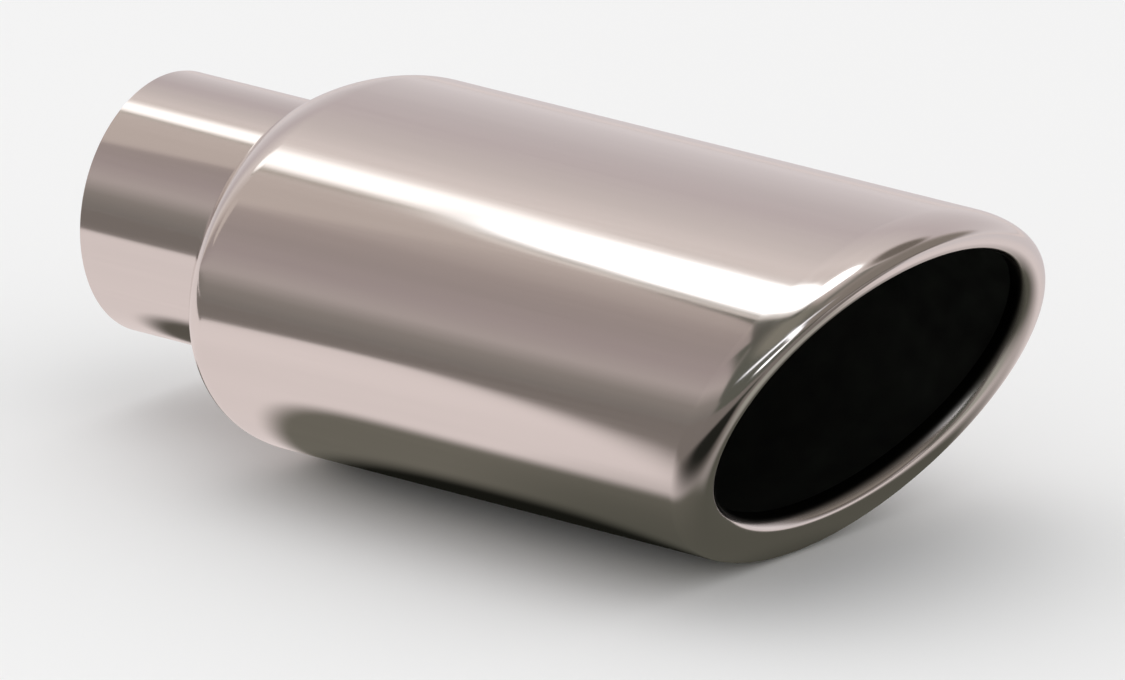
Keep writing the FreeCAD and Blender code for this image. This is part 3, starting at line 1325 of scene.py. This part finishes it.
@dataclass
class Studio:
    """Pale floor, glowing sheets of painted reflection, soft lamp and camera."""

    floor_size: float = 30.0
    azimuth: float = math.radians(39.722)
    elevation: float = math.radians(17.855)
    distance: float = 6.12
    lens: float = 858.49
    sensor_width: float = 36.0
    clip: tuple[float, float] = (0.5, 60.0)
    target: tuple[float, float, float] = (0.0765, 0.0, 0.0)
    slide_right: float = 0.03238
    slide_up: float = -0.01699

    def build_sheets(self) -> None:
        """Lay the floor that the camera sees, and the two sheets of painted reflection."""
        floor = self.sheet("floor", FLOOR_HEIGHT, PaleFloor().build())
        floor.visible_glossy = False
        for tones in (
            PaintedReflectionSheet("painted_reflection_table", FLOOR_HEIGHT - TABLE_GAP, TABLE_PATCHES, BOARD),
            PaintedReflectionSheet("painted_reflection_ceiling", CEILING_HEIGHT, CEILING_PATCHES),
        ):
            sheet = self.sheet(tones.name, tones.height, tones.build())
            sheet.visible_camera = False
            sheet.visible_diffuse = False
            sheet.visible_shadow = False

    def sheet(
        self, name: str, height: float, material: Material
    ) -> Object:
        """Lay one level sheet of the studio.

        Args:
            name: the sheet's name.
            height: its height.
            material: its finish.

        Returns:
            The sheet.
        """
        half = 0.5 * self.floor_size
        corners = [(-half, -half), (half, -half), (half, half), (-half, half)]
        mesh = bpy.data.meshes.new(name)
        mesh.from_pydata([(x, y, height) for x, y in corners], [], [(0, 1, 2, 3)])
        mesh.materials.append(material)
        sheet = bpy.data.objects.new(name, mesh)
        bpy.context.scene.collection.objects.link(sheet)
        return sheet

    def build_tent(self) -> None:
        """Build the tent, toned in the steel and plain white to the floor and camera."""
        world = bpy.data.worlds.new("tent")
        world.use_nodes = True
        tree = world.node_tree
        tree.nodes.clear()
        direction = parts_of(add_node(tree, "ShaderNodeTexCoord").outputs["Generated"])
        _, y, z = direction
        place = z.step("ARCTAN2", y * -1.0) / FULL_TURN + 0.5
        toned = colour_ramp(
            place, tuple((angle / 360.0 + 0.5, tone) for angle, tone in TENT.items())
        )
        for patch in TENT_PATCHES:
            toned = colour_mix(tree, patch.on_tent(direction), toned, patch.colour)
        plain = add_node(tree, "ShaderNodeBackground", {"Color": (1.0, 1.0, 1.0)})
        mirror = add_node(tree, "ShaderNodeBackground", {"Color": toned})
        glossy = add_node(tree, "ShaderNodeLightPath").outputs["Is Glossy Ray"]
        inputs = {0: glossy, 1: plain.outputs[0], 2: mirror.outputs[0]}
        choose = add_node(tree, "ShaderNodeMixShader", inputs)
        add_node(tree, "ShaderNodeOutputWorld", {"Surface": choose.outputs[0]})
        bpy.context.scene.world = world

    def build_camera(self) -> None:
        """Set the camera at the photograph's angle, with no shift."""
        azimuth, elevation = self.azimuth, self.elevation
        back = Vector((
            math.sin(azimuth) * math.cos(elevation),
            -math.cos(azimuth) * math.cos(elevation),
            math.sin(elevation),
        ))
        right = Vector((math.cos(azimuth), math.sin(azimuth), 0.0))
        up = back.cross(right)
        target = Vector(self.target) + right * self.slide_right + up * self.slide_up
        data = bpy.data.cameras.new("camera")
        data.lens = self.lens
        data.sensor_width = self.sensor_width
        data.clip_start, data.clip_end = self.clip
        camera = bpy.data.objects.new("camera", data)
        turn = Matrix((right, up, back)).transposed().to_4x4()
        camera.matrix_world = Matrix.Translation(target + back * self.distance) @ turn
        bpy.context.scene.collection.objects.link(camera)
        bpy.context.scene.camera = camera

    def build(self) -> None:
        """Build the whole studio."""
        bpy.context.scene.view_settings.view_transform = "Standard"
        self.build_sheets()
        self.build_tent()
        SoftLamp().build()
        self.build_camera()


def main() -> None:
    """Build the studio and every piece of the tip."""
    logging.basicConfig(level=logging.INFO, format="%(message)s")
    Studio().build()
    marks = PolishingMarks().build()
    mirror = SteelFinish(
        "mirror_polished_steel", tint=(0.86, 0.83, 0.815),
        roughness=0.115, spread=0.10, fineness=900.0, relief=3e-6,
    )
    drawn = SteelFinish(
        "drawn_tube_steel", tint=(0.52, 0.49, 0.46),
        roughness=0.34, spread=0.25, fineness=1400.0, relief=8e-6,
    )
    shell = OuterShell()
    # Painted shade on the rolled edge, from 50 degrees round its rounding to where it faces
    # into the mouth at 90.
    painted_shade = (shell.edge_place(50.0), shell.edge_place(90.0))
    painted_shade_edge = replace(mirror, name="painted_shade_edge_steel", painted_shade=painted_shade)
    polished = mirror.build(marks)
    shell.dress(shell.build(polished, painted_shade_edge.build(marks), PaintedShadeInside().build()))
    tube = InletTube()
    tube.dress(tube.build(polished, drawn.build(marks)))
    weld = WeldBead()
    weld.dress(weld.build(WeldMetal().build()))


if __name__ == "__main__":
    main()
